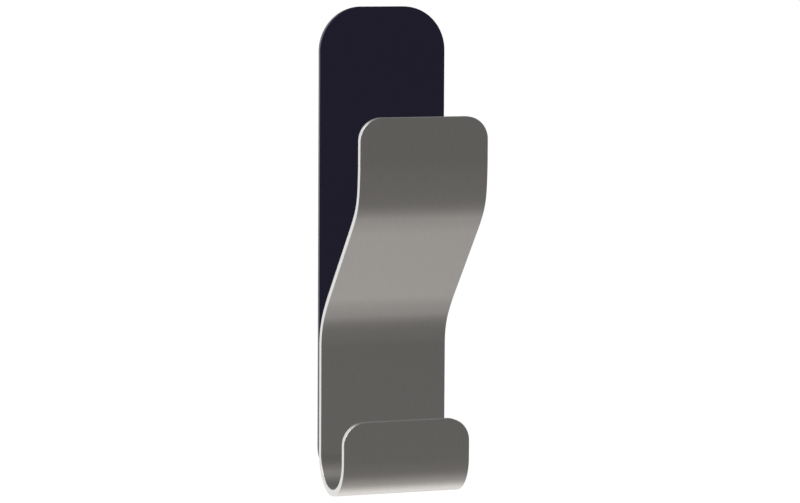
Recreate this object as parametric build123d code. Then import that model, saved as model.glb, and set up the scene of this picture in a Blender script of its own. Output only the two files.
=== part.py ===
from build123d import *
import math
import os

# Wall hook: one strip of stainless sheet, bent into a low hook and a raised tab, joined flat to
# a dark coated back plate that is stuck to the wall with a foam pad.
# X runs across the hook, Y into the wall and Z up. The origin is the middle of the pad's
# wall-side face, so everything stands out from the wall towards -Y.

# Driving dimensions, in millimetres and degrees

# Back plate, and the width that the plate and the strap share, flush at both sides
hook_width = 40.0
plate_height = 146.3
plate_thickness = 1.5
plate_corner_radius = 13.3
plate_edge_radius = 0.15

# Adhesive pad behind the plate
pad_thickness = 1.0
pad_inset = 2.0

# Hook strap, followed from the tip of the lip round to the top of the tab
strap_thickness = 2.0
strap_edge_radius = 0.15
lip_height = 12.2
lip_corner_radius = 6.8
hook_bend_inner_radius = 9.3
flat_length = 33.0
lower_bend_inner_radius = 18.0
slant_angle = 41.5
tab_stand_off = 33.0
upper_bend_inner_radius = 16.5
tab_lean = 2.0
tab_length = 20.2
tab_corner_radius = 6.9

# Worked out from the driving dimensions

plate_back = pad_thickness
plate_front = plate_back + plate_thickness
plate_foot = -plate_height / 2
strap_middle = plate_front + strap_thickness / 2
hook_bend_radius = hook_bend_inner_radius + strap_thickness / 2
lower_bend_radius = lower_bend_inner_radius + strap_thickness / 2
upper_bend_radius = upper_bend_inner_radius + strap_thickness / 2

# The underside of the hook's bend is level with the plate's foot
hook_bend_axis_up = plate_foot + strap_thickness + hook_bend_inner_radius

# The side view: its first axis is the distance out from the wall, its second is the height
side_view = Plane(origin=(0, 0, 0), x_dir=(0, -1, 0), z_dir=(-1, 0, 0))


def slant_length():
    """Straight run of the slant: what the two bends leave of the tab's stand-off."""
    leave = math.cos(math.radians(slant_angle))
    arrive = math.cos(math.radians(tab_lean))
    lower_share = lower_bend_radius * (1 - leave)
    upper_share = upper_bend_radius * (arrive - leave)
    return (tab_stand_off - lower_share - upper_share) / math.sin(math.radians(slant_angle))


def rounded_sheet(width, height, corner_radius, back, thickness):
    """A flat sheet with round corners, parallel to the wall, its back at a distance from it."""
    outline = Plane.XZ.offset(back) * RectangleRounded(width, height, corner_radius)
    return extrude(outline, thickness)


def make_adhesive_pad():
    width = hook_width - 2 * pad_inset
    height = plate_height - 2 * pad_inset
    corner_radius = plate_corner_radius - pad_inset
    return rounded_sheet(width, height, corner_radius, 0, pad_thickness)


def make_back_plate():
    plate = rounded_sheet(
        hook_width, plate_height, plate_corner_radius, plate_back, plate_thickness
    )
    rims = plate.faces().filter_by(Axis.Y).edges()
    return fillet(rims, plate_edge_radius)


def strap_run(shift):
    """The strap's bent run in the side view, as a chain of lines and tangent arcs.

    A shift of 0 follows the middle of the sheet. A positive shift moves the run to the face
    that is outside in the hook's bend and lies on the plate along the flat.
    """
    bend_axis_out = strap_middle + hook_bend_radius
    lip_out = bend_axis_out + hook_bend_radius + shift
    lip = Line((lip_out, hook_bend_axis_up + lip_height), (lip_out, hook_bend_axis_up))
    hook_bend = JernArc(lip @ 1, lip % 1, hook_bend_radius + shift, -180)
    flat = Line(hook_bend @ 1, hook_bend @ 1 + flat_length * (hook_bend % 1))
    lower_bend = JernArc(flat @ 1, flat % 1, lower_bend_radius + shift, -slant_angle)
    slant = Line(lower_bend @ 1, lower_bend @ 1 + slant_length() * (lower_bend % 1))
    turn_up = slant_angle - tab_lean
    upper_bend = JernArc(slant @ 1, slant % 1, upper_bend_radius - shift, turn_up)
    tab = Line(upper_bend @ 1, upper_bend @ 1 + tab_length * (upper_bend % 1))
    return [lip, hook_bend, flat, lower_bend, slant, upper_bend, tab]


def make_strap_section():
    """The strap's section: both faces of the sheet, closed across its two ends."""
    outer = strap_run(strap_thickness / 2)
    inner = strap_run(-strap_thickness / 2)
    lip_end = Line(outer[0] @ 0, inner[0] @ 0)
    tab_end = Line(outer[-1] @ 1, inner[-1] @ 1)
    return make_face(Wire(outer + inner + [lip_end, tab_end]))


def end_corners(strap, run_end):
    """The two short edges of the end face that stands at one end of the strap's run."""
    end_face = strap.faces().sort_by_distance(side_view.from_local_coords(run_end))[0]
    return end_face.edges().sort_by(SortBy.LENGTH)[:2]


def strap_rims(strap):
    """The rims of both sheet faces: all edges but the bend lines and those across the sheet."""
    edges = strap.edges()
    across_sheet = edges.filter_by(lambda edge: math.isclose(edge.length, strap_thickness))
    along_x = edges.filter_by(Axis.X)
    bend_lines = along_x.filter_by(lambda edge: math.isclose(edge.length, hook_width))
    return edges - across_sheet - bend_lines


def make_hook_strap():
    strap = extrude(side_view * make_strap_section(), hook_width / 2, both=True)
    middle = strap_run(0)
    strap = fillet(end_corners(strap, middle[0] @ 0), lip_corner_radius)
    strap = fillet(end_corners(strap, middle[-1] @ 1), tab_corner_radius)
    return fillet(strap_rims(strap), strap_edge_radius)


parts = {
    "adhesive_pad": make_adhesive_pad(),
    "back_plate": make_back_plate(),
    "hook_strap": make_hook_strap(),
}
os.makedirs("parts", exist_ok=True)
for name, solid in parts.items():
    export_step(solid, f"parts/{name}.step")
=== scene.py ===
import math
import bmesh
import bpy
from mathutils import Matrix, Vector


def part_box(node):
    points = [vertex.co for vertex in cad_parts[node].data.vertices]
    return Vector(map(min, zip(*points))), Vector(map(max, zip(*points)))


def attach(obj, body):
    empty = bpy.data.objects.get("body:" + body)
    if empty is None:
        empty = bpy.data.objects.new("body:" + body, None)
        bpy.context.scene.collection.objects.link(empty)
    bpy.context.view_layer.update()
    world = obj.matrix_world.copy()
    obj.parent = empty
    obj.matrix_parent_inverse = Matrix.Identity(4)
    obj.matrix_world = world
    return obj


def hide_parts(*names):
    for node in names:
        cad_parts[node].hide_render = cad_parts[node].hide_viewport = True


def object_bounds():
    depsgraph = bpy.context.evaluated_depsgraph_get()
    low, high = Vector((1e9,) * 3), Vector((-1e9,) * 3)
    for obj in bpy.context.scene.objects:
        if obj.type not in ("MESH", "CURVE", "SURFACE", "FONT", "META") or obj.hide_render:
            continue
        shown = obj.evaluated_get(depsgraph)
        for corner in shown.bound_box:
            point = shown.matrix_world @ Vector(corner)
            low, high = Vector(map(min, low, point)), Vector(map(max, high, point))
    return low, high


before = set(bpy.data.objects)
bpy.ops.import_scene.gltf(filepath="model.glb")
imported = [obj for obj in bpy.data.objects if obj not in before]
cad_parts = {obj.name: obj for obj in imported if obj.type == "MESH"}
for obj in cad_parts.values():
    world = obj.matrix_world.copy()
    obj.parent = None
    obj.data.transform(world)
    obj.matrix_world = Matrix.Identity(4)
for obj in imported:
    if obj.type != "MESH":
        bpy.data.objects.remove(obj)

cad_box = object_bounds()

# Back plate
# A flat sheet of steel with round corners, powder coated a very dark blue-black all round. It
# carries the hook strap on its front and the foam tape behind, and shows a thin cut edge.
plate_corner_radius = 0.0133
plate_corner_steps = 28
plate_edge_radius = 0.00015
coat_colour = (0.0068, 0.0038, 0.032, 1.0)
coat_ior = 1.6
coat_roughness = 0.36
coat_roughness_spread = 0.03
peel_scale = 1400.0
peel_depth = 0.00003


def add_node(tree, kind, **settings):
    """Adds a node and sets its named properties."""
    node = tree.nodes.new(kind)
    for name, value in settings.items():
        setattr(node, name, value)
    return node


def wire(tree, source, target):
    """Links one socket to another, whichever way round they are used."""
    tree.links.new(target, source)


def add_socket(tree, name, kind, in_out="INPUT"):
    """Gives a node group a named input or output and returns its identifier."""
    return tree.interface.new_socket(name, in_out=in_out, socket_type=kind).identifier


def maths(tree, operation, first, second=None):
    """A math node on one or two values, which are sockets or numbers; returns its result."""
    node = add_node(tree, "ShaderNodeMath", operation=operation)
    for slot, value in zip(node.inputs, (first, second)):
        if value is None:
            continue
        if isinstance(value, (int, float)):
            slot.default_value = value
        else:
            wire(tree, value, slot)
    return node.outputs[0]


def new_material(name, colour, roughness, metallic=0.0):
    """A material with one Principled shader; returns it, its tree and the shader."""
    material = bpy.data.materials.new(name)
    material.use_nodes = True
    tree = material.node_tree
    shader = tree.nodes["Principled BSDF"]
    shader.inputs["Base Color"].default_value = colour
    shader.inputs["Roughness"].default_value = roughness
    shader.inputs["Metallic"].default_value = metallic
    return material, tree, shader


def noise_on(tree, coordinates, scale, detail=2.0, stretch=(1, 1, 1)):
    """Noise on a coordinate socket, stretched by a factor along each axis."""
    mapping = add_node(tree, "ShaderNodeMapping")
    mapping.inputs["Scale"].default_value = stretch
    wire(tree, coordinates, mapping.inputs["Vector"])
    noise = add_node(tree, "ShaderNodeTexNoise")
    noise.inputs["Scale"].default_value = scale
    noise.inputs["Detail"].default_value = detail
    wire(tree, mapping.outputs["Vector"], noise.inputs["Vector"])
    return noise.outputs["Fac"]


def remap(tree, value, low, high, noise_low=0.3, noise_high=0.7):
    """Stretches a noise's usual middle range to run from one value to another."""
    node = add_node(tree, "ShaderNodeMapRange")
    node.inputs["From Min"].default_value = noise_low
    node.inputs["From Max"].default_value = noise_high
    node.inputs["To Min"].default_value = low
    node.inputs["To Max"].default_value = high
    wire(tree, value, node.inputs["Value"])
    return node.outputs["Result"]


def add_bump(tree, shader, height, distance):
    """Raises a shader's surface by a height pattern, over a distance in metres."""
    bump = add_node(tree, "ShaderNodeBump")
    bump.inputs["Distance"].default_value = distance
    bump.inputs["Strength"].default_value = 1.0
    wire(tree, height, bump.inputs["Height"])
    wire(tree, bump.outputs["Normal"], shader.inputs["Normal"])


def powder_coat():
    """Dark satin powder coat: a fine orange peel over an even colour."""
    material, tree, shader = new_material("Powder coat", coat_colour, coat_roughness)
    shader.inputs["IOR"].default_value = coat_ior
    place = add_node(tree, "ShaderNodeTexCoord").outputs["Object"]
    peel = noise_on(tree, place, peel_scale)
    smoothest = coat_roughness - coat_roughness_spread
    roughest = coat_roughness + coat_roughness_spread
    wire(tree, remap(tree, peel, smoothest, roughest), shader.inputs["Roughness"])
    add_bump(tree, shader, peel, peel_depth)
    return material


def rounded_sheet_tree(weld_distance=1e-6):
    """Node group for a flat sheet with round corners, standing parallel to the wall."""
    tree = bpy.data.node_groups.new("Rounded sheet", "GeometryNodeTree")
    add_socket(tree, "Geometry", "NodeSocketGeometry")
    sockets = {name: add_socket(tree, name, "NodeSocketFloat")
               for name in ("Width", "Height", "Thickness", "Corner radius")}
    sockets["Corner steps"] = add_socket(tree, "Corner steps", "NodeSocketInt")
    sockets["Back"] = add_socket(tree, "Back", "NodeSocketVector")
    sockets["Material"] = add_socket(tree, "Material", "NodeSocketMaterial")
    add_socket(tree, "Geometry", "NodeSocketGeometry", "OUTPUT")
    given = add_node(tree, "NodeGroupInput").outputs
    outline = add_node(tree, "GeometryNodeCurvePrimitiveQuadrilateral")
    wire(tree, given["Width"], outline.inputs["Width"])
    wire(tree, given["Height"], outline.inputs["Height"])
    fillet = add_node(tree, "GeometryNodeFilletCurve", mode="POLY")
    wire(tree, outline.outputs["Curve"], fillet.inputs["Curve"])
    wire(tree, given["Corner radius"], fillet.inputs["Radius"])
    wire(tree, given["Corner steps"], fillet.inputs["Count"])
    fill = add_node(tree, "GeometryNodeFillCurve", mode="NGONS")
    wire(tree, fillet.outputs["Curve"], fill.inputs["Curve"])
    front = add_node(tree, "GeometryNodeExtrudeMesh")
    front.inputs["Individual"].default_value = False
    wire(tree, fill.outputs["Mesh"], front.inputs["Mesh"])
    wire(tree, given["Thickness"], front.inputs["Offset Scale"])
    back = add_node(tree, "GeometryNodeFlipFaces")
    wire(tree, fill.outputs["Mesh"], back.inputs["Mesh"])
    both = add_node(tree, "GeometryNodeJoinGeometry")
    wire(tree, front.outputs["Mesh"], both.inputs["Geometry"])
    wire(tree, back.outputs["Mesh"], both.inputs["Geometry"])
    weld = add_node(tree, "GeometryNodeMergeByDistance")
    weld.inputs["Distance"].default_value = weld_distance
    wire(tree, both.outputs["Geometry"], weld.inputs["Geometry"])
    stand = add_node(tree, "GeometryNodeTransform")
    stand.inputs["Rotation"].default_value = (math.radians(90), 0, 0)
    wire(tree, weld.outputs["Geometry"], stand.inputs["Geometry"])
    wire(tree, given["Back"], stand.inputs["Translation"])
    smooth = add_node(tree, "GeometryNodeSetShadeSmooth")
    wire(tree, stand.outputs["Geometry"], smooth.inputs["Geometry"])
    finish_tree(tree, smooth.outputs[0], given["Material"])
    return tree, sockets


def finish_tree(tree, geometry, material):
    """Ends a node group: real geometry, its material, and the group's output."""
    real = add_node(tree, "GeometryNodeRealizeInstances")
    wire(tree, geometry, real.inputs["Geometry"])
    painted = add_node(tree, "GeometryNodeSetMaterial")
    wire(tree, real.outputs["Geometry"], painted.inputs["Geometry"])
    wire(tree, material, painted.inputs["Material"])
    wire(tree, painted.outputs["Geometry"], add_node(tree, "NodeGroupOutput").inputs["Geometry"])
    return painted


def add_nodes(piece, tree, sockets, values):
    """Puts a node group on a piece, its inputs set by their identifiers."""
    nodes = piece.modifiers.new(tree.name, "NODES")
    nodes.node_group = tree
    for socket, value in values.items():
        nodes[sockets[socket]] = value


def ease_edges(piece, radius, segments=3, sharp_angle=math.radians(50)):
    """Rounds the sharp rims by a small radius."""
    bevel = piece.modifiers.new("Eased edges", "BEVEL")
    bevel.width = radius
    bevel.segments = segments
    bevel.limit_method = "ANGLE"
    bevel.angle_limit = sharp_angle


def settle(piece):
    """Turns what the modifiers show into the piece's own plain mesh."""
    weighted = piece.modifiers.new("Even shading", "WEIGHTED_NORMAL")
    weighted.mode = "FACE_AREA"
    graph = bpy.context.evaluated_depsgraph_get()
    piece.data = bpy.data.meshes.new_from_object(piece.evaluated_get(graph), depsgraph=graph)
    piece.data.name = piece.name
    piece.modifiers.clear()


def rounded_sheet(name, node, corner_radius, corner_steps, material):
    """A sheet that fills a node's box, with round corners."""
    low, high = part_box(node)
    back = Vector(((low[0] + high[0]) / 2, high[1], (low[2] + high[2]) / 2))
    piece = bpy.data.objects.new(name, bpy.data.meshes.new(name))
    bpy.context.scene.collection.objects.link(piece)
    add_nodes(piece, *rounded_sheet_tree(), {
        "Width": high[0] - low[0], "Height": high[2] - low[2], "Thickness": high[1] - low[1],
        "Corner radius": corner_radius, "Corner steps": corner_steps, "Back": back,
        "Material": material})
    return piece


plate = rounded_sheet("coated_plate", "back_plate", plate_corner_radius, plate_corner_steps,
                      powder_coat())
ease_edges(plate, plate_edge_radius)
settle(plate)
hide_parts("back_plate")
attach(plate, "root")

# Hook strap
# One strip of stainless sheet with round corners, its cut edges eased, bent in a press: half a
# turn for the low hook, then out and up again for the raised tab. It is spot welded to the plate.
strap_low, strap_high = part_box("hook_strap")
sheet_thickness = 0.002
strap_edge_radius = 0.00015
strap_corner_radius = 0.0068
lip_height = 0.0122
hook_radius = 0.0103
flat_length = 0.0326
lower_radius = 0.018
upper_radius = 0.0165
slant_angle = math.radians(41.5)
foot_easing_radius = 0.054
foot_easing = math.radians(8.0)
head_easing_radius = 0.075
head_easing = math.radians(4.5)
tab_easing = math.radians(7.0)
steel_colour = (0.59, 0.563, 0.535, 1.0)
steel_roughness = 0.36
steel_roughness_spread = 0.05
steel_anisotropy = 0.7
grain_scale = 16000.0
grain_stretch = (1, 0.015, 1)
grain_darkest = 0.95
grain_lightest = 1.05
grain_depth = 0.000004
cut_edge_colour = (0.69, 0.685, 0.675, 1.0)
cut_edge_roughness = 0.36
cut_edge_smoothest = 0.33
cut_edge_roughest = 0.40
cut_marks_scale = 2500.0
sheet_face_limit = 0.8

strap_width = strap_high[0] - strap_low[0]
sheet_middle = strap_high[1] - sheet_thickness / 2
hook_line = strap_low[2] + hook_radius + sheet_thickness / 2
lower_line = hook_line + flat_length

# The sheet eases out of the lower bend into the slant, and into and out of the upper bend, so five
# arcs lead from the flat up to the tab: each has the radius of the sheet's middle, and its tilt out
# of the vertical at both ends.
turns = (
    (lower_radius, 0.0, slant_angle - foot_easing),
    (foot_easing_radius, slant_angle - foot_easing, slant_angle),
    (head_easing_radius, slant_angle, slant_angle - head_easing),
    (upper_radius, slant_angle - head_easing, tab_easing),
    (head_easing_radius, tab_easing, 0.0),
)
reach = sheet_middle - strap_low[1] - sheet_thickness / 2
turned_out = sum(radius * abs(math.cos(low) - math.cos(high)) for radius, low, high in turns)
turned_up = sum(radius * abs(math.sin(low) - math.sin(high)) for radius, low, high in turns)
slant_length = (reach - turned_out) / math.sin(slant_angle)
tip_length = (strap_high[2] - lower_line) - turned_up - slant_length * math.cos(slant_angle)

# Where each bend starts on the flat blank, its radius, its angle, and the way that it goes: up or
# down the blank, and out to the room or back to the wall.
strokes = []
line = lower_line
for radius, tilt_before, tilt_after in turns:
    angle = abs(tilt_after - tilt_before)
    strokes.append((line, radius, angle, 1.0, math.copysign(1.0, tilt_after - tilt_before)))
    line += radius * angle
    if tilt_after == slant_angle:
        line += slant_length
strokes = strokes[::-1] + [(hook_line, hook_radius, math.pi, -1.0, 1.0)]
blank_foot = hook_line - math.pi * hook_radius - lip_height
blank_head = line + tip_length

# Rows of faces along each stretch of the blank: its two straight ends, the low hook, the flat, the
# slant, and the other bends, which have a few and one more for each small step of their angle.
end_rows = 2
hook_rows = 72
flat_rows = 6
slant_rows = 8
bend_rows = 6
bend_row_degrees = 1.5


def blank_rows():
    """Heights of the rows across the flat blank: close together only where the sheet bends."""
    lip_line = hook_line - math.pi * hook_radius
    marks = [(blank_foot + strap_corner_radius, lip_line, end_rows),
             (lip_line, hook_line, hook_rows), (hook_line, lower_line, flat_rows)]
    top = lower_line
    for start, radius, angle, *_ in strokes[-2::-1]:
        if start > top:
            marks.append((top, start, slant_rows))
        top = start + radius * angle
        marks.append((start, top, bend_rows + round(math.degrees(angle) / bend_row_degrees)))
    marks.append((top, blank_head - strap_corner_radius, end_rows))
    rows = [low + (high - low) * step / steps
            for low, high, steps in marks for step in range(steps)]
    return rows + [blank_head - strap_corner_radius]


def flat_blank(columns=8, corner_steps=20):
    """The strap before it is bent: rows of faces with a round-cornered cap at each end."""
    mesh = bpy.data.meshes.new("brushed_strap")
    shape = bmesh.new()
    across = [strap_width * (column / columns - 0.5) for column in range(columns + 1)]
    rows = [[shape.verts.new((x, sheet_middle, height)) for x in across]
            for height in blank_rows()]
    for lower, upper in zip(rows, rows[1:]):
        for column in range(columns):
            shape.faces.new((lower[column], lower[column + 1], upper[column + 1], upper[column]))
    for row, end, turn in ((rows[0], blank_foot, -1), (rows[-1], blank_head, 1)):
        corner_height = end - turn * strap_corner_radius
        rim = []
        for side in (1, -1):
            middle = side * (strap_width / 2 - strap_corner_radius)
            angles = [math.pi / 2 * step / corner_steps for step in range(1, corner_steps + 1)]
            arc = [(middle + side * strap_corner_radius * math.cos(a), sheet_middle,
                    corner_height + turn * strap_corner_radius * math.sin(a)) for a in angles]
            rim += arc if side > 0 else arc[::-1]
        shape.faces.new(row + [shape.verts.new(point) for point in rim])
    bmesh.ops.recalc_face_normals(shape, faces=shape.faces)
    layer = shape.loops.layers.uv.new("Blank")
    for face in shape.faces:
        face.smooth = True
        for loop in face.loops:
            loop[layer].uv = (loop.vert.co.x, loop.vert.co.z)
    shape.to_mesh(mesh)
    shape.free()
    return mesh


def blank_marks_tree():
    """Node group that notes each point's height on the flat blank, and its edge's faces."""
    tree = bpy.data.node_groups.new("Blank marks", "GeometryNodeTree")
    add_socket(tree, "Geometry", "NodeSocketGeometry")
    sockets = {"Edge limit": add_socket(tree, "Edge limit", "NodeSocketFloat")}
    add_socket(tree, "Geometry", "NodeSocketGeometry", "OUTPUT")
    given = add_node(tree, "NodeGroupInput").outputs
    place = add_node(tree, "ShaderNodeSeparateXYZ")
    wire(tree, add_node(tree, "GeometryNodeInputPosition").outputs[0], place.inputs["Vector"])
    height = add_node(tree, "GeometryNodeStoreNamedAttribute", data_type="FLOAT", domain="POINT")
    height.inputs["Name"].default_value = "Blank height"
    wire(tree, given["Geometry"], height.inputs["Geometry"])
    wire(tree, place.outputs["Z"], height.inputs["Value"])
    facing = add_node(tree, "ShaderNodeSeparateXYZ")
    wire(tree, add_node(tree, "GeometryNodeInputNormal").outputs[0], facing.inputs["Vector"])
    edge = add_node(tree, "GeometryNodeStoreNamedAttribute", data_type="BOOLEAN", domain="FACE")
    edge.inputs["Name"].default_value = "Cut edge"
    wire(tree, height.outputs["Geometry"], edge.inputs["Geometry"])
    wire(tree, maths(tree, "LESS_THAN", maths(tree, "ABSOLUTE", facing.outputs["Y"]),
                     given["Edge limit"]), edge.inputs["Value"])
    wire(tree, edge.outputs["Geometry"], add_node(tree, "NodeGroupOutput").inputs["Geometry"])
    return tree, sockets


def press_bend_tree():
    """Node group that bends part of a flat strip round a line across it, as a press does.

    Every point beyond the line slides back along the strip and turns about the former's axis.
    """
    tree = bpy.data.node_groups.new("Press bend", "GeometryNodeTree")
    add_socket(tree, "Geometry", "NodeSocketGeometry")
    names = ("Sheet middle", "Bend line", "Middle radius", "Angle", "Up the blank", "To the room")
    sockets = {name: add_socket(tree, name, "NodeSocketFloat") for name in names}
    add_socket(tree, "Geometry", "NodeSocketGeometry", "OUTPUT")
    given = add_node(tree, "NodeGroupInput").outputs
    height = add_node(tree, "GeometryNodeInputNamedAttribute", data_type="FLOAT")
    height.inputs["Name"].default_value = "Blank height"
    beyond = maths(tree, "SUBTRACT", height.outputs["Attribute"], given["Bend line"])
    run = maths(tree, "MULTIPLY", beyond, given["Up the blank"])
    turn = maths(tree, "DIVIDE", run, given["Middle radius"])
    turn = maths(tree, "MAXIMUM", turn, 0.0)
    turn = maths(tree, "MINIMUM", turn, given["Angle"])
    way = maths(tree, "MULTIPLY", given["Up the blank"], given["To the room"])
    slide = maths(tree, "MULTIPLY", maths(tree, "MULTIPLY", turn, given["Middle radius"]),
                  maths(tree, "MULTIPLY", given["Up the blank"], -1.0))
    back = add_node(tree, "ShaderNodeCombineXYZ")
    wire(tree, slide, back.inputs["Z"])
    slid = add_node(tree, "ShaderNodeVectorMath", operation="ADD")
    wire(tree, add_node(tree, "GeometryNodeInputPosition").outputs["Position"], slid.inputs[0])
    wire(tree, back.outputs["Vector"], slid.inputs[1])
    axis = add_node(tree, "ShaderNodeCombineXYZ")
    offset = maths(tree, "MULTIPLY", given["Middle radius"], given["To the room"])
    wire(tree, maths(tree, "SUBTRACT", given["Sheet middle"], offset), axis.inputs["Y"])
    wire(tree, given["Bend line"], axis.inputs["Z"])
    rotate = add_node(tree, "ShaderNodeVectorRotate", rotation_type="X_AXIS")
    wire(tree, slid.outputs["Vector"], rotate.inputs["Vector"])
    wire(tree, axis.outputs["Vector"], rotate.inputs["Center"])
    wire(tree, maths(tree, "MULTIPLY", turn, way), rotate.inputs["Angle"])
    move = add_node(tree, "GeometryNodeSetPosition")
    wire(tree, given["Geometry"], move.inputs["Geometry"])
    wire(tree, rotate.outputs["Vector"], move.inputs["Position"])
    wire(tree, move.outputs["Geometry"], add_node(tree, "NodeGroupOutput").inputs["Geometry"])
    return tree, sockets


def strap_finish_tree():
    """Node group that gives the bent sheet its brushed faces and its plain cut edge."""
    tree = bpy.data.node_groups.new("Strap finish", "GeometryNodeTree")
    add_socket(tree, "Geometry", "NodeSocketGeometry")
    sockets = {name: add_socket(tree, name, "NodeSocketMaterial")
               for name in ("Sheet finish", "Cut finish")}
    add_socket(tree, "Geometry", "NodeSocketGeometry", "OUTPUT")
    given = add_node(tree, "NodeGroupInput").outputs
    mark = add_node(tree, "GeometryNodeInputNamedAttribute", data_type="BOOLEAN")
    mark.inputs["Name"].default_value = "Cut edge"
    edge = add_node(tree, "GeometryNodeCaptureAttribute", domain="FACE")
    edge.capture_items.new("BOOLEAN", "Cut edge")
    wire(tree, given["Geometry"], edge.inputs["Geometry"])
    wire(tree, mark.outputs["Attribute"], edge.inputs["Cut edge"])
    shape = edge.outputs["Geometry"]
    for name in ("Cut edge", "Blank height"):
        clear = add_node(tree, "GeometryNodeRemoveAttribute")
        clear.inputs["Name"].default_value = name
        wire(tree, shape, clear.inputs["Geometry"])
        shape = clear.outputs["Geometry"]
    sheet = finish_tree(tree, shape, given["Sheet finish"])
    cut = add_node(tree, "GeometryNodeSetMaterial")
    wire(tree, sheet.outputs["Geometry"], cut.inputs["Geometry"])
    wire(tree, edge.outputs["Cut edge"], cut.inputs["Selection"])
    wire(tree, given["Cut finish"], cut.inputs["Material"])
    output = next(node for node in tree.nodes if node.type == "GROUP_OUTPUT")
    wire(tree, cut.outputs["Geometry"], output.inputs["Geometry"])
    return tree, sockets


def shade_colour(tree, shader, colour, factor):
    """Makes a shader's colour lighter and darker from place to place, by a factor."""
    shaded = add_node(tree, "ShaderNodeVectorMath", operation="SCALE")
    shaded.inputs[0].default_value = colour[:3]
    wire(tree, factor, shaded.inputs["Scale"])
    wire(tree, shaded.outputs["Vector"], shader.inputs["Base Color"])


def brushed_steel():
    """Satin stainless sheet: a hair-fine grain along the strap, which spreads light across it."""
    material, tree, shader = new_material("Brushed steel", steel_colour, steel_roughness,
                                          metallic=1.0)
    shader.inputs["Anisotropic"].default_value = steel_anisotropy
    blank = add_node(tree, "ShaderNodeUVMap", uv_map="Blank").outputs["UV"]
    tangent = add_node(tree, "ShaderNodeTangent", direction_type="UV_MAP", uv_map="Blank")
    wire(tree, tangent.outputs["Tangent"], shader.inputs["Tangent"])
    grain = noise_on(tree, blank, grain_scale, stretch=grain_stretch)
    shade_colour(tree, shader, steel_colour, remap(tree, grain, grain_darkest, grain_lightest))
    smoothest = steel_roughness - steel_roughness_spread
    roughest = steel_roughness + steel_roughness_spread
    wire(tree, remap(tree, grain, roughest, smoothest), shader.inputs["Roughness"])
    add_bump(tree, shader, grain, grain_depth)
    return material


def cut_steel():
    """The sheet's cut and eased edge: brighter, and finished without a grain."""
    material, tree, shader = new_material("Cut steel", cut_edge_colour, cut_edge_roughness,
                                          metallic=1.0)
    place = add_node(tree, "ShaderNodeTexCoord").outputs["Object"]
    marks = noise_on(tree, place, cut_marks_scale)
    roughness = remap(tree, marks, cut_edge_smoothest, cut_edge_roughest)
    wire(tree, roughness, shader.inputs["Roughness"])
    return material


strap = bpy.data.objects.new("brushed_strap", flat_blank())
bpy.context.scene.collection.objects.link(strap)
sheet = strap.modifiers.new("Sheet thickness", "SOLIDIFY")
sheet.thickness = sheet_thickness
sheet.offset = 0
ease_edges(strap, strap_edge_radius)
add_nodes(strap, *blank_marks_tree(), {"Edge limit": sheet_face_limit})
bend_tree, bend_sockets = press_bend_tree()
for line, radius, angle, up, room in strokes:
    add_nodes(strap, bend_tree, bend_sockets, {
        "Sheet middle": sheet_middle, "Bend line": line, "Middle radius": radius,
        "Angle": angle, "Up the blank": up, "To the room": room})
add_nodes(strap, *strap_finish_tree(), {
    "Sheet finish": brushed_steel(), "Cut finish": cut_steel()})
settle(strap)
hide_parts("hook_strap")
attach(strap, "root")

# Foam tape
# Double-sided foam tape that holds the plate to the wall, die cut a little smaller than the
# plate so that it stays out of sight. Dark grey closed-cell foam with a skin of glue.
tape_corner_radius = 0.0113
tape_corner_steps = 24
foam_colour = (0.035, 0.035, 0.037, 1.0)
foam_roughness = 0.85
mottling_scale = 900.0
mottling_detail = 4.0
mottling_darkest = 0.75
mottling_lightest = 1.3
cell_scale = 3500.0
cell_depth = 0.00006


def foam():
    """Closed-cell foam: matt and a little mottled, with small bubbles cut open on its surface."""
    material, tree, shader = new_material("Foam", foam_colour, foam_roughness)
    place = add_node(tree, "ShaderNodeTexCoord").outputs["Object"]
    mottling = noise_on(tree, place, mottling_scale, mottling_detail)
    shades = remap(tree, mottling, mottling_darkest, mottling_lightest)
    shade_colour(tree, shader, foam_colour, shades)
    cells = add_node(tree, "ShaderNodeTexVoronoi")
    cells.inputs["Scale"].default_value = cell_scale
    wire(tree, place, cells.inputs["Vector"])
    add_bump(tree, shader, cells.outputs["Distance"], cell_depth)
    return material


tape = rounded_sheet("foam_tape", "adhesive_pad", tape_corner_radius, tape_corner_steps, foam())
settle(tape)
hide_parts("adhesive_pad")
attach(tape, "root")

# Floor
# A wide pale floor well below the hook, as under a thing that hangs on a wall. The camera sees
# it white, it keeps the hook's soft shadow, and glossy reflections leave it out.
floor_drop = 0.6
floor_half = 9.0
floor_colour = (0.75, 0.75, 0.75, 1)
floor_colour_seen = (0.4, 0.4, 0.4, 1)
floor_glow = 0.92


def pale_floor():
    """White to the camera where nothing shades it, and plain matt grey-white to other rays."""
    material = bpy.data.materials.new("Pale floor")
    material.use_nodes = True
    tree = material.node_tree
    tree.nodes.clear()
    plain = add_node(tree, "ShaderNodeBsdfDiffuse")
    plain.inputs["Color"].default_value = floor_colour
    shaded = add_node(tree, "ShaderNodeBsdfDiffuse")
    shaded.inputs["Color"].default_value = floor_colour_seen
    glow = add_node(tree, "ShaderNodeEmission")
    glow.inputs["Strength"].default_value = floor_glow
    seen = add_node(tree, "ShaderNodeAddShader")
    wire(tree, shaded.outputs[0], seen.inputs[0])
    wire(tree, glow.outputs[0], seen.inputs[1])
    mix = add_node(tree, "ShaderNodeMixShader")
    wire(tree, add_node(tree, "ShaderNodeLightPath").outputs["Is Camera Ray"], mix.inputs[0])
    wire(tree, plain.outputs[0], mix.inputs[1])
    wire(tree, seen.outputs[0], mix.inputs[2])
    wire(tree, mix.outputs[0], add_node(tree, "ShaderNodeOutputMaterial").inputs["Surface"])
    return material


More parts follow.
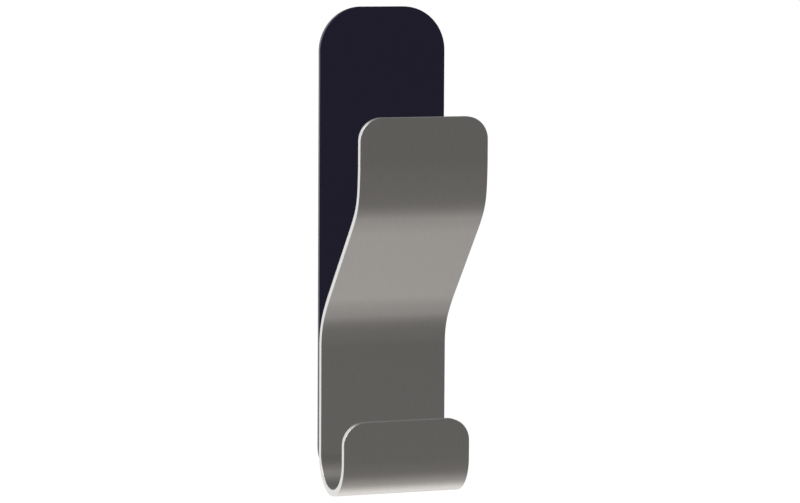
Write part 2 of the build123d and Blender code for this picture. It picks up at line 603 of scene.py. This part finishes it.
floor_mesh = bpy.data.meshes.new("floor")
floor_height = cad_box[0][2] - floor_drop
corners = [(-1, -1), (1, -1), (1, 1), (-1, 1)]
floor_mesh.from_pydata([(x * floor_half, y * floor_half, floor_height) for x, y in corners], [],
                       [(0, 1, 2, 3)])
floor_mesh.materials.append(pale_floor())
floor = bpy.data.objects.new("floor", floor_mesh)
bpy.context.scene.collection.objects.link(floor)
floor.visible_glossy = False

# Light
# A dim room with a white board behind and below the hook, which the steel mirrors, another at the
# back on the left, a pale table in front, and a dark flag to the right. One large soft lamp hangs
# high on the left. Only the camera sees the plain white behind, and no piece mirrors another.
room_level = 0.163
table_level = 0.09
below_level = 0.43
board_level = 0.71
left_board_level = 0.85
white = (1, 1, 1, 1)
key_place = (-1.7, -0.55, 1.5)
key_width = 2.2
key_power = 52
light = bpy.data.worlds.new("studio")
bpy.context.scene.world = light
light.use_nodes = True
tree = light.node_tree
tree.nodes.clear()
direction = add_node(tree, "ShaderNodeTexCoord").outputs["Generated"]


def glow_towards(way, start, end, level):
    """Light that swells around a direction: a soft step in how nearly it is faced."""
    facing = add_node(tree, "ShaderNodeVectorMath", operation="DOT_PRODUCT")
    facing.inputs[1].default_value = Vector(way).normalized()
    wire(tree, direction, facing.inputs[0])
    step = add_node(tree, "ShaderNodeMapRange", interpolation_type="SMOOTHSTEP")
    step.inputs["From Min"].default_value = start
    step.inputs["From Max"].default_value = end
    step.inputs["To Max"].default_value = level
    wire(tree, facing.outputs["Value"], step.inputs["Value"])
    return step.outputs["Result"]


below = glow_towards(way=(0, 0.5, -0.87), start=0.08, end=1.05, level=below_level)
table = glow_towards(way=(0.35, -0.83, -0.44), start=0.86, end=1.0, level=table_level)
back_board = glow_towards(way=(0, 0.8, -0.6), start=0.5, end=1.0, level=board_level)
left_board = glow_towards(way=(-0.3, 0.93, 0.2), start=0.78, end=0.93, level=left_board_level)
flag = glow_towards(way=(0.75, 0.6, 0.28), start=0.5, end=0.8, level=1.0)
boards = maths(tree, "MULTIPLY", maths(tree, "MAXIMUM", back_board, left_board),
               maths(tree, "SUBTRACT", 1.0, flag))
under = maths(tree, "ADD", below, table)
level = maths(tree, "ADD", maths(tree, "ADD", boards, under), room_level)
around = add_node(tree, "ShaderNodeBackground")
around.inputs["Color"].default_value = white
wire(tree, level, around.inputs["Strength"])
backdrop = add_node(tree, "ShaderNodeBackground")
backdrop.inputs["Color"].default_value = white
seen = add_node(tree, "ShaderNodeMixShader")
wire(tree, add_node(tree, "ShaderNodeLightPath").outputs["Is Camera Ray"], seen.inputs[0])
wire(tree, around.outputs[0], seen.inputs[1])
wire(tree, backdrop.outputs[0], seen.inputs[2])
wire(tree, seen.outputs[0], add_node(tree, "ShaderNodeOutputWorld").inputs["Surface"])


def soft_lamp(name, place, width, power):
    """A square area lamp that faces the hook."""
    lamp_data = bpy.data.lights.new(name, "AREA")
    lamp_data.size = width
    lamp_data.energy = power
    lamp = bpy.data.objects.new(name, lamp_data)
    lamp.location = place
    lamp.rotation_euler = (-Vector(place)).to_track_quat("-Z", "Y").to_euler()
    bpy.context.scene.collection.objects.link(lamp)


soft_lamp("key", key_place, key_width, key_power)
for piece in (plate, strap, tape):
    piece.visible_glossy = False

# Camera
# The photograph's view: from the left and a little above, through a long lens.
mm_per_metre = 1000
sensor_width = 0.036
camera_lens = 0.1573
camera_azimuth = math.radians(-20.611)
camera_elevation = math.radians(5.722)
camera_roll = math.radians(0.318)
camera_distance = 1.0613
aim = Vector((0.0056, -0.0033, -0.0011))

camera_data = bpy.data.cameras.new("camera")
camera_data.sensor_width = sensor_width * mm_per_metre
camera_data.lens = camera_lens * mm_per_metre
camera = bpy.data.objects.new("camera", camera_data)
back_to_camera = Vector((math.sin(camera_azimuth) * math.cos(camera_elevation),
                         -math.cos(camera_azimuth) * math.cos(camera_elevation),
                         math.sin(camera_elevation)))
camera.location = aim + camera_distance * back_to_camera
level_turn = (-back_to_camera).to_track_quat("-Z", "Y").to_matrix()
camera.rotation_euler = (level_turn @ Matrix.Rotation(camera_roll, 3, "Z")).to_euler()
bpy.context.scene.collection.objects.link(camera)
bpy.context.scene.camera = camera

bpy.context.scene.view_settings.view_transform = "Standard"
